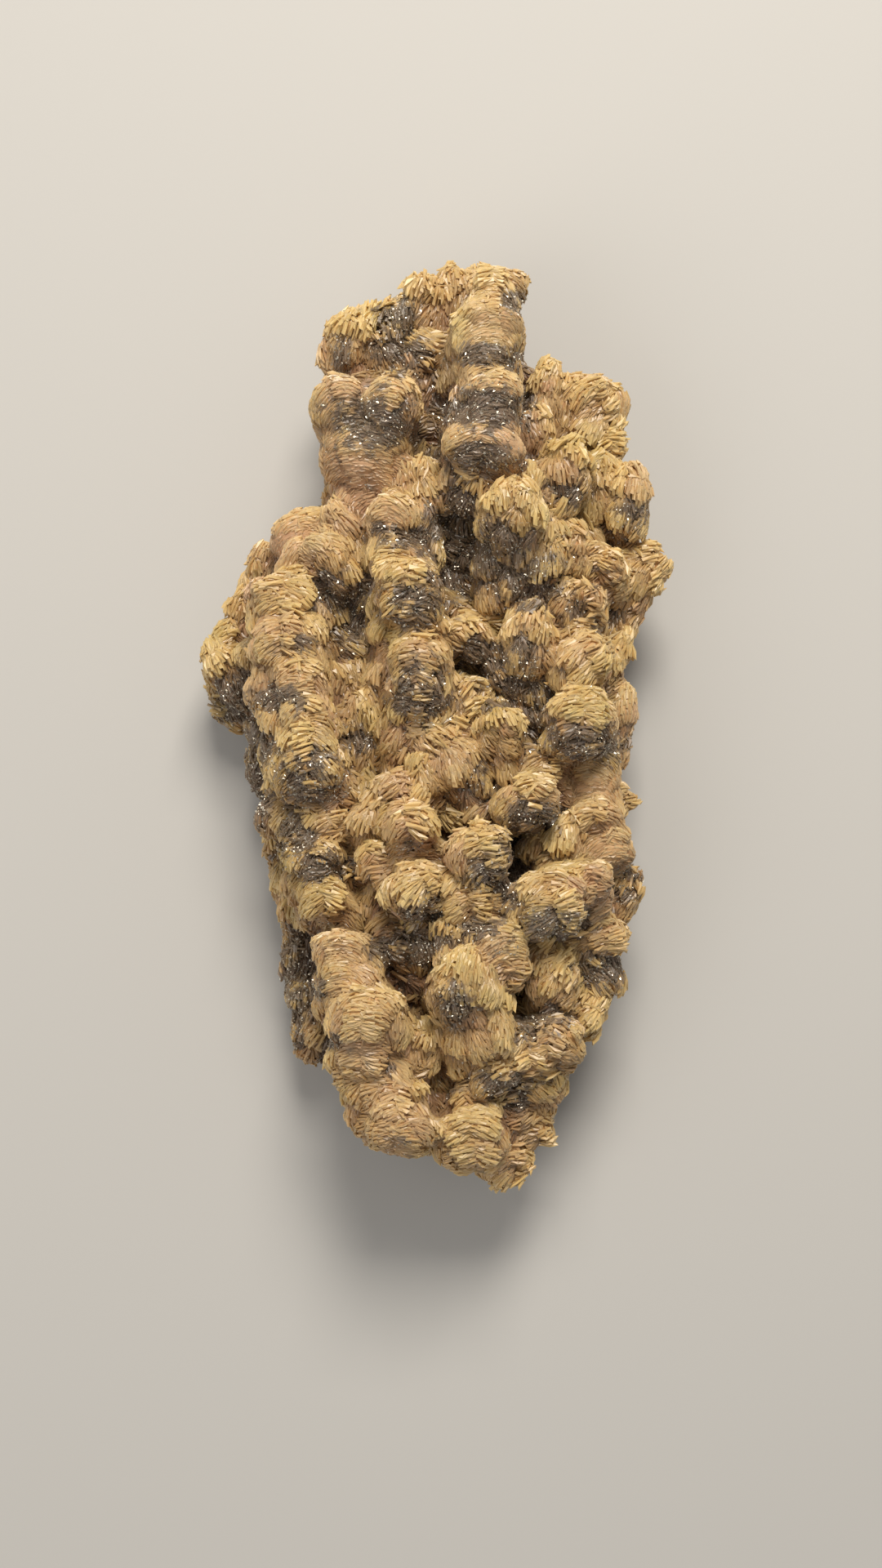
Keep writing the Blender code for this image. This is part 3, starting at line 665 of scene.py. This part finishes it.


# Massive barite, naturally grown: a dull waxy surface with fine grain that runs with the blades, golden
# brown to olive and pinkish. Each stain, painted shade and painted highlight has its colour and the most of
# it that
# shows: painted shade in the deep places and on the lower sides, and a painted highlight on the crests that
# also carries the cream patches. They and the pyrite's coat are on the blades too, and the widths are in
# millimetres.
BARITE_IOR = 1.64
MASSIVE_GOLD = ("#9f733a", "#d6a562")
ROSY = ("#bb8c72", 0.5)
ROSY_RANGE = (0.5, 1.0)
OLIVE = ("#a48c42", 0.5)
OLIVE_RANGE = (0.5, 0.72)
OLIVE_WIDTH = 17
SMOOTH = ("#dab488", 0.5)
# Painted shade in the crevices, painted shade on the lower sides, and a painted highlight on the crests that
# also carries the cream patches.
DEPTHS_SHADE = ("#54321f", 0.78)
UNDERSIDE_SHADE = ("#875a40", 0.5)
CREST_HIGHLIGHT_AND_CREAM = ("#ecce86", 0.5)
DARK_COAT = "#3d2f25"
GREY_COAT = "#7e6a56"
SPECKLE_WIDTH = 2.4
SPECKLE_SHARE = 1.5
OWN_SHARE = 0.5
COAT_RANGE = (0.40, 0.85)
COAT_MOST = 0.92
GRAIN_BUMP = 0.5
BUMP_STRENGTH = 0.8

material, tree, shader, place = finish_tree("massive_barite", roughness=0.6, ior=BARITE_IOR)
grain_place = add_node(tree, "ShaderNodeAttribute", {"attribute_name": "comb"}).outputs["Vector"]
grain = add_node(
    tree, "ShaderNodeTexNoise", {}, {"Vector": grain_place, "Scale": 1.0, "Detail": 4.0}
).outputs[0]
dark_gold, light_gold = [linear(colour) for colour in MASSIVE_GOLD]
stone = add_node(
    tree, "ShaderNodeMix", {"data_type": "RGBA"}, {0: grain, 6: dark_gold, 7: light_gold}
).outputs[2]
tree.links.new(stains_and_painted_light(tree, place, stone, grain), shader.inputs["Base Color"])
bump = add_node(
    tree, "ShaderNodeBump", {},
    {"Strength": BUMP_STRENGTH, "Distance": GRAIN_BUMP * MM, "Height": grain},
)
tree.links.new(bump.outputs["Normal"], shader.inputs["Normal"])
body_mesh.materials.clear()
body_mesh.materials.append(material)
body_mesh.shade_smooth()

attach(body, "root")
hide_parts("barite_pyrite_specimen")

# The barite blades: thin blunt tabular crystals a few millimetres long, which stand on edge in fans all
# over but low on the flanks and on the broken back, and taper to their roots in the body. In millimetres
# and degrees, with the density per square metre and the calm lumps' values as shares.
BLADE_SPACING = 0.58
BLADE_DENSITY = 3_200_000.0
BLADE_LENGTH = (1.8, 4.2)
BLADE_THICKNESS = (0.5, 1.2)
BLADE_HEIGHT = (1.2, 2.0)
BLADE_LIFT = 0.2
CALM_SINK = 0.4
CALM_SHORTER = 0.25
CALM_FLATTER = 0.85
TIP_RISE = (-4.0, 3.0)
CREST_RISE = 9.0
BLADE_YAW = 4.0
BLADE_LEAN = 18.0
BLADE_SEED = 31
YAW_SEED, LEAN_SEED, TONE_SEED = 11, 12, 21
LOWEST_ROOT = 3.4
BANDS = {"crown": (45, 100), "upper": (15, 45), "middle": (-15, 15), "lower": (-45, -15), "foot": (-100, -45)}
LEAF_POINTS = [
    (-0.45, -0.36, 0.0), (-0.47, 0.34, 0.0), (0.48, 0.3, 0.08), (0.42, -0.38, 0.1),
    (0.08, 0.0, 0.3), (0.1, 0.0, -0.5),
]
LEAF_FACES = [(0, 1, 4), (1, 2, 4), (2, 3, 4), (3, 0, 4), (1, 0, 5), (2, 1, 5), (3, 2, 5), (0, 3, 5)]
LEAF_RIDGE = [0.2, 0.2, 0.9, 0.9, 1.0, 0.0]

leaf_mesh = bpy.data.meshes.new("blade")
leaf_mesh.from_pydata(LEAF_POINTS, [], LEAF_FACES)
shape = bmesh.new()
shape.from_mesh(leaf_mesh)
bmesh.ops.recalc_face_normals(shape, faces=shape.faces)
shape.to_mesh(leaf_mesh)
shape.free()
store(leaf_mesh, "ridge", np.array(LEAF_RIDGE))
store(leaf_mesh, "tip", np.array([x + 0.5 for x, y, z in LEAF_POINTS]))
leaf = bpy.data.objects.new("blade", leaf_mesh)
scene.collection.objects.link(leaf)


def named_inputs(tree, kinds):
    """Gives a geometry nodes tree its named inputs and its geometry output, and returns the inputs."""
    tree.interface.new_socket("Geometry", in_out="OUTPUT", socket_type="NodeSocketGeometry")
    for name, kind in kinds.items():
        tree.interface.new_socket(name, in_out="INPUT", socket_type="NodeSocket" + kind)
    return add_node(tree, "NodeGroupInput").outputs


def blade_tree():
    """Geometry nodes that stand blades on a surface, along its stored strands."""
    tree = bpy.data.node_groups.new("blades along strands", "GeometryNodeTree")
    given = named_inputs(tree, {
        "Geometry": "Geometry", "Blade": "Object", "Material": "Material", "Seed": "Int", "From Y": "Float",
        "To Y": "Float", "Lowest Root": "Float", "Spacing": "Float", "Density": "Float", "Smallest": "Vector",
        "Largest": "Vector", "Least Rise": "Float", "Most Rise": "Float", "Crest Rise": "Float",
        "Yaw": "Float", "Lean": "Float", "Lift": "Float", "Calm Sink": "Float", "Calm Shorter": "Float",
        "Calm Flatter": "Float",
    })
    position = add_node(tree, "GeometryNodeInputPosition").outputs[0]
    at = add_node(tree, "ShaderNodeSeparateXYZ", {}, {0: position}).outputs
    above, under, raised = [
        add_node(tree, "FunctionNodeCompare", {"operation": operation}, {0: value, 1: limit}).outputs[0]
        for value, operation, limit in (
            (at["Y"], "GREATER_THAN", given["From Y"]), (at["Y"], "LESS_EQUAL", given["To Y"]),
            (at["Z"], "GREATER_THAN", given["Lowest Root"]),
        )
    ]
    band = add_node(tree, "FunctionNodeBooleanMath", {"operation": "AND"}, {0: above, 1: under}).outputs[0]
    chosen = add_node(tree, "FunctionNodeBooleanMath", {"operation": "AND"}, {0: band, 1: raised}).outputs[0]
    spread = add_node(
        tree, "GeometryNodeDistributePointsOnFaces", {"distribute_method": "POISSON"},
        {
            "Mesh": given["Geometry"], "Selection": chosen, "Distance Min": given["Spacing"],
            "Density Max": given["Density"], "Seed": given["Seed"],
        },
    )
    strand, calm, crest = [
        add_node(
            tree, "GeometryNodeInputNamedAttribute", {"data_type": kind}, {"Name": name}
        ).outputs["Attribute"]
        for name, kind in (("strand", "FLOAT_VECTOR"), ("calm", "FLOAT"), ("crest", "FLOAT"))
    ]
    facing = add_node(
        tree, "FunctionNodeAxesToRotation", {"primary_axis": "Z", "secondary_axis": "X"},
        {"Primary Axis": spread.outputs["Normal"], "Secondary Axis": strand},
    ).outputs[0]
    rise = add_node(
        tree, "FunctionNodeRandomValue", {"data_type": "FLOAT"},
        {"Min": given["Least Rise"], "Max": given["Most Rise"], "Seed": given["Seed"]},
    ).outputs[1]
    rise = add_node(
        tree, "ShaderNodeMath", {"operation": "MULTIPLY_ADD"}, {0: crest, 1: given["Crest Rise"], 2: rise}
    ).outputs[0]
    flatter, shorter, sunk = [
        add_node(tree, "ShaderNodeMath", {"operation": "MULTIPLY"}, {0: calm, 1: given[name]}).outputs[0]
        for name in ("Calm Flatter", "Calm Shorter", "Calm Sink")
    ]
    upright = add_node(tree, "ShaderNodeMath", {"operation": "SUBTRACT"}, {0: flatter, 1: 1.0}).outputs[0]
    down = add_node(tree, "ShaderNodeMath", {"operation": "MULTIPLY"}, {0: rise, 1: upright}).outputs[0]
    swings = []
    for most, seed in ((given["Yaw"], YAW_SEED), (given["Lean"], LEAN_SEED)):
        least = add_node(tree, "ShaderNodeMath", {"operation": "MULTIPLY"}, {0: most, 1: -1.0}).outputs[0]
        swings.append(add_node(
            tree, "FunctionNodeRandomValue", {"data_type": "FLOAT"}, {"Min": least, "Max": most, "Seed": seed}
        ).outputs[1])
    yaw, lean = swings
    sway = add_node(tree, "ShaderNodeCombineXYZ", {}, {"X": lean, "Y": down, "Z": yaw}).outputs[0]
    sway = add_node(tree, "FunctionNodeEulerToRotation", {}, {0: sway}).outputs[0]
    turned = add_node(
        tree, "FunctionNodeRotateRotation", {"rotation_space": "LOCAL"},
        {"Rotation": facing, "Rotate By": sway},
    ).outputs[0]
    size = add_node(
        tree, "FunctionNodeRandomValue", {"data_type": "FLOAT_VECTOR"},
        {0: given["Smallest"], 1: given["Largest"], "Seed": given["Seed"]},
    ).outputs[0]
    kept = add_node(tree, "ShaderNodeMath", {"operation": "SUBTRACT"}, {0: 1.0, 1: shorter}).outputs[0]
    size = add_node(tree, "ShaderNodeVectorMath", {"operation": "SCALE"}, {0: size, "Scale": kept}).outputs[0]
    height = add_node(
        tree, "ShaderNodeMath", {"operation": "SUBTRACT"}, {0: given["Lift"], 1: sunk}
    ).outputs[0]
    lift = add_node(
        tree, "ShaderNodeVectorMath", {"operation": "SCALE"}, {0: spread.outputs["Normal"], "Scale": height}
    ).outputs[0]
    lifted = add_node(
        tree, "GeometryNodeSetPosition", {}, {"Geometry": spread.outputs["Points"], "Offset": lift}
    )
    own_tone = add_node(
        tree, "FunctionNodeRandomValue", {"data_type": "FLOAT"}, {"Seed": TONE_SEED}
    ).outputs[1]
    toned = add_node(
        tree, "GeometryNodeStoreNamedAttribute", {"data_type": "FLOAT", "domain": "POINT"},
        {"Geometry": lifted.outputs[0], "Name": "blade_tone", "Value": own_tone},
    )
    blade = add_node(tree, "GeometryNodeObjectInfo", {}, {"Object": given["Blade"]}).outputs["Geometry"]
    placed = add_node(
        tree, "GeometryNodeInstanceOnPoints", {},
        {"Points": toned.outputs[0], "Instance": blade, "Rotation": turned, "Scale": size},
    )
    real = add_node(tree, "GeometryNodeRealizeInstances", {}, {0: placed.outputs[0]})
    flat = add_node(
        tree, "GeometryNodeSetShadeSmooth", {}, {"Geometry": real.outputs[0], "Shade Smooth": False}
    )
    dressed = add_node(
        tree, "GeometryNodeSetMaterial", {}, {"Geometry": flat.outputs[0], "Material": given["Material"]}
    )
    add_node(tree, "NodeGroupOutput", {}, {0: dressed.outputs[0]})
    return tree


def set_inputs(modifier, values):
    """Sets a geometry nodes modifier's inputs by their names, through their identifiers."""
    for item in modifier.node_group.interface.items_tree:
        if item.item_type == "SOCKET" and item.in_out == "INPUT" and item.name in values:
            modifier[item.identifier] = values[item.name]


# Bladed barite, naturally grown: translucent golden blades with a waxy gloss, which let some light in, and a
# painted glow that makes them paler at their free ends. Light travels up to about 1.6 mm in them.
BLADE_GOLD = ("#b58c4e", "#dcb374")
# The tip colour is a painted glow at the blades' free ends.
BLADE_TIP_GLOW = "#e9c993"
STREAK_SHARE = 0.6
STREAK_RANGE = (0.35, 0.65)
STREAK_SCALE = 0.5
TIP_GLOW_SHARE = 0.5
LIGHT_LET_IN = 0.35
LIGHT_TRAVEL = 1.6
LIGHT_BY_COLOUR = (1.0, 0.85, 0.7)

material, tree, shader, place = finish_tree("bladed_barite", roughness=0.42, ior=BARITE_IOR)
blade_tone = add_node(tree, "ShaderNodeAttribute", {"attribute_name": "blade_tone"}).outputs["Fac"]
comb_place = add_node(tree, "ShaderNodeAttribute", {"attribute_name": "comb"}).outputs["Vector"]
streak = add_node(
    tree, "ShaderNodeTexNoise", {}, {"Vector": comb_place, "Scale": STREAK_SCALE, "Detail": 2.0}
).outputs[0]
streak = add_node(
    tree, "ShaderNodeMapRange", {},
    {"Value": streak, "From Min": STREAK_RANGE[0], "From Max": STREAK_RANGE[1]},
).outputs["Result"]
blade_tone = add_node(tree, "ShaderNodeMix", {}, {0: STREAK_SHARE, 2: blade_tone, 3: streak}).outputs[0]
tip = add_node(tree, "ShaderNodeAttribute", {"attribute_name": "tip"}).outputs["Fac"]
dark_gold, light_gold = [linear(colour) for colour in BLADE_GOLD]
stone = add_node(
    tree, "ShaderNodeMix", {"data_type": "RGBA"}, {0: blade_tone, 6: dark_gold, 7: light_gold}
).outputs[2]
# Painted glow: each blade's colour turns paler towards its free end.
pale = add_node(tree, "ShaderNodeMath", {"operation": "MULTIPLY"}, {0: tip, 1: TIP_GLOW_SHARE}).outputs[0]
stone = add_node(
    tree, "ShaderNodeMix", {"data_type": "RGBA"}, {0: pale, 6: stone, 7: linear(BLADE_TIP_GLOW)}
).outputs[2]
tree.links.new(stains_and_painted_light(tree, place, stone, blade_tone), shader.inputs["Base Color"])
shader.inputs["Subsurface Weight"].default_value = LIGHT_LET_IN
shader.inputs["Subsurface Radius"].default_value = LIGHT_BY_COLOUR
shader.inputs["Subsurface Scale"].default_value = LIGHT_TRAVEL * MM
bladed_barite = material

blades = blade_tree()
smallest, largest = [
    [BLADE_LENGTH[end] * MM, BLADE_THICKNESS[end] * MM, BLADE_HEIGHT[end] * MM] for end in (0, 1)
]
blade_pieces = {}
for number, (band, (from_y, to_y)) in enumerate(BANDS.items()):
    piece = bpy.data.objects.new(f"barite_blades_{band}", body_mesh.copy())
    scene.collection.objects.link(piece)
    standing = piece.modifiers.new("blades", "NODES")
    standing.node_group = blades
    set_inputs(standing, {
        "Blade": leaf, "Material": bladed_barite, "Seed": BLADE_SEED + number,
        "From Y": from_y * MM, "To Y": to_y * MM, "Lowest Root": LOWEST_ROOT * MM,
        "Spacing": BLADE_SPACING * MM, "Density": BLADE_DENSITY, "Smallest": smallest, "Largest": largest,
        "Least Rise": math.radians(TIP_RISE[0]), "Most Rise": math.radians(TIP_RISE[1]),
        "Crest Rise": math.radians(CREST_RISE), "Yaw": math.radians(BLADE_YAW),
        "Lean": math.radians(BLADE_LEAN), "Lift": BLADE_LIFT * MM, "Calm Sink": CALM_SINK * MM,
        "Calm Shorter": CALM_SHORTER, "Calm Flatter": CALM_FLATTER,
    })
    plain_mesh(piece, piece.name)
    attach(piece, "root")
    blade_pieces[band] = piece
bpy.data.objects.remove(leaf)

# The pyrite grains: small cubes, up to four tenths of a millimetre, grown on the blades' upper edges where
# pyrite coats them. One corner of each stands out of the blade, turned so that some always catch the light.
# Sizes in millimetres, the density per square metre and the tilt in radians.
GRAIN_SIZE = (0.17, 0.38)
GRAIN_DENSITY = 2_450_000.0
GRAIN_POINTS = [(-0.35, -0.35, -0.35), (1, -0.35, -0.35), (-0.35, 1, -0.35), (-0.35, -0.35, 1)]
GRAIN_FACES = [(0, 2, 1), (0, 1, 3), (0, 3, 2), (1, 2, 3)]
GRAIN_TILT = ((2.4, -0.8, 0.0), (3.9, 0.8, 6.28))
GRAIN_SEED = 51
TILT_SEED = 5
BARE_BELOW = 0.38

grain_mesh = bpy.data.meshes.new("grain")
grain_mesh.from_pydata(GRAIN_POINTS, [], GRAIN_FACES)
grain_corner = bpy.data.objects.new("grain", grain_mesh)
scene.collection.objects.link(grain_corner)


def grain_tree():
    """Geometry nodes that scatter grains on the blades' upper edges, where they have pyrite."""
    tree = bpy.data.node_groups.new("grains on blades", "GeometryNodeTree")
    given = named_inputs(tree, {
        "Geometry": "Geometry", "Grain": "Object", "Material": "Material", "Seed": "Int", "Density": "Float",
        "Bare Below": "Float", "Smallest": "Float", "Largest": "Float",
    })
    share, ridge = [
        add_node(
            tree, "GeometryNodeInputNamedAttribute", {"data_type": "FLOAT"}, {"Name": name}
        ).outputs["Attribute"]
        for name in ("pyrite_share", "ridge")
    ]
    coated = add_node(
        tree, "ShaderNodeMapRange", {}, {"Value": share, "From Min": given["Bare Below"], "From Max": 1.0}
    ).outputs["Result"]
    crowd = coated
    for factor in (ridge, given["Density"]):
        crowd = add_node(tree, "ShaderNodeMath", {"operation": "MULTIPLY"}, {0: crowd, 1: factor}).outputs[0]
    spread = add_node(
        tree, "GeometryNodeDistributePointsOnFaces", {"distribute_method": "RANDOM"},
        {"Mesh": given["Geometry"], "Density": crowd, "Seed": given["Seed"]},
    )
    tilt = add_node(
        tree, "FunctionNodeRandomValue", {"data_type": "FLOAT_VECTOR"},
        {0: GRAIN_TILT[0], 1: GRAIN_TILT[1], "Seed": TILT_SEED},
    ).outputs[0]
    tilt = add_node(tree, "FunctionNodeEulerToRotation", {}, {0: tilt}).outputs[0]
    turned = add_node(
        tree, "FunctionNodeRotateRotation", {"rotation_space": "LOCAL"},
        {"Rotation": spread.outputs["Rotation"], "Rotate By": tilt},
    ).outputs[0]
    size = add_node(
        tree, "FunctionNodeRandomValue", {"data_type": "FLOAT"},
        {"Min": given["Smallest"], "Max": given["Largest"], "Seed": given["Seed"]},
    ).outputs[1]
    grain = add_node(tree, "GeometryNodeObjectInfo", {}, {"Object": given["Grain"]}).outputs["Geometry"]
    placed = add_node(
        tree, "GeometryNodeInstanceOnPoints", {},
        {"Points": spread.outputs["Points"], "Instance": grain, "Rotation": turned, "Scale": size},
    )
    real = add_node(tree, "GeometryNodeRealizeInstances", {}, {0: placed.outputs[0]})
    dressed = add_node(
        tree, "GeometryNodeSetMaterial", {}, {"Geometry": real.outputs[0], "Material": given["Material"]}
    )
    add_node(tree, "NodeGroupOutput", {}, {0: dressed.outputs[0]})
    return tree


# Pyrite, naturally grown: pale brassy grey metal, tarnished in spots a millimetre or two wide. Its flat
# faces give tiny sparkles.
PYRITE_GREY = ("#8d8272", "#f5ecd8")
TARNISH_WIDTH = 1.5

material, tree, shader, place = finish_tree("pyrite_grains", roughness=0.4)
shader.inputs["Metallic"].default_value = 1.0
tarnish = add_node(
    tree, "ShaderNodeTexNoise", {}, {"Vector": place, "Scale": 1 / TARNISH_WIDTH, "Detail": 1.0}
).outputs[0]
tarnished, bright = [linear(colour) for colour in PYRITE_GREY]
metal = add_node(
    tree, "ShaderNodeMix", {"data_type": "RGBA"}, {0: tarnish, 6: tarnished, 7: bright}
).outputs[2]
tree.links.new(metal, shader.inputs["Base Color"])
pyrite_metal = material

grains = grain_tree()
for number, (band, blade_piece) in enumerate(blade_pieces.items()):
    piece = bpy.data.objects.new(f"pyrite_grains_{band}", blade_piece.data.copy())
    scene.collection.objects.link(piece)
    standing = piece.modifiers.new("grains", "NODES")
    standing.node_group = grains
    set_inputs(standing, {
        "Grain": grain_corner, "Material": pyrite_metal, "Seed": GRAIN_SEED + number,
        "Density": GRAIN_DENSITY, "Bare Below": BARE_BELOW, "Smallest": GRAIN_SIZE[0] * MM,
        "Largest": GRAIN_SIZE[1] * MM,
    })
    plain_mesh(piece, piece.name)
    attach(piece, "root")
bpy.data.objects.remove(grain_corner)

# The floor is a plain pale matt sheet, four metres square, a hair under the specimen. Light comes from
# above its crown, with a weaker fill from the other side and an even white glow.
FLOOR_CORNERS = [(-2, -2, 0), (2, -2, 0), (2, 2, 0), (-2, 2, 0)]
FLOOR_DROP = 0.2
FLOOR_GREY = "#c4c1bb"
STUDIO_GLOW = 0.29

floor_mesh = bpy.data.meshes.new("floor")
floor_mesh.from_pydata(FLOOR_CORNERS, [], [(0, 1, 2, 3)])
floor = bpy.data.objects.new("floor", floor_mesh)
scene.collection.objects.link(floor)
floor.location.z = -FLOOR_DROP * MM
material, tree, shader, place = finish_tree("pale_floor", roughness=0.9)
shader.inputs["Base Color"].default_value = linear(FLOOR_GREY)
floor_mesh.materials.append(material)


def add_light(name, place, energy, size, colour):
    """A soft square light that points at the specimen."""
    light = bpy.data.objects.new(name, bpy.data.lights.new(name, "AREA"))
    light.data.energy = energy
    light.data.size = size
    light.data.color = colour
    light.location = place
    light.rotation_euler = (-Vector(place)).to_track_quat("-Z", "Y").to_euler()
    scene.collection.objects.link(light)


add_light("key", place=(0.08, 0.60, 0.70), energy=8.8, size=0.35, colour=(1.0, 0.95, 0.88))
add_light("fill", place=(-0.5, -0.3, 0.7), energy=1.6, size=0.6, colour=(1.0, 0.96, 0.93))
world = bpy.data.worlds.new("studio")
world.use_nodes = True
world.node_tree.nodes["Background"].inputs["Color"].default_value = (1, 1, 1, 1)
world.node_tree.nodes["Background"].inputs["Strength"].default_value = STUDIO_GLOW
scene.world = world
scene.view_settings.view_transform = "Standard"
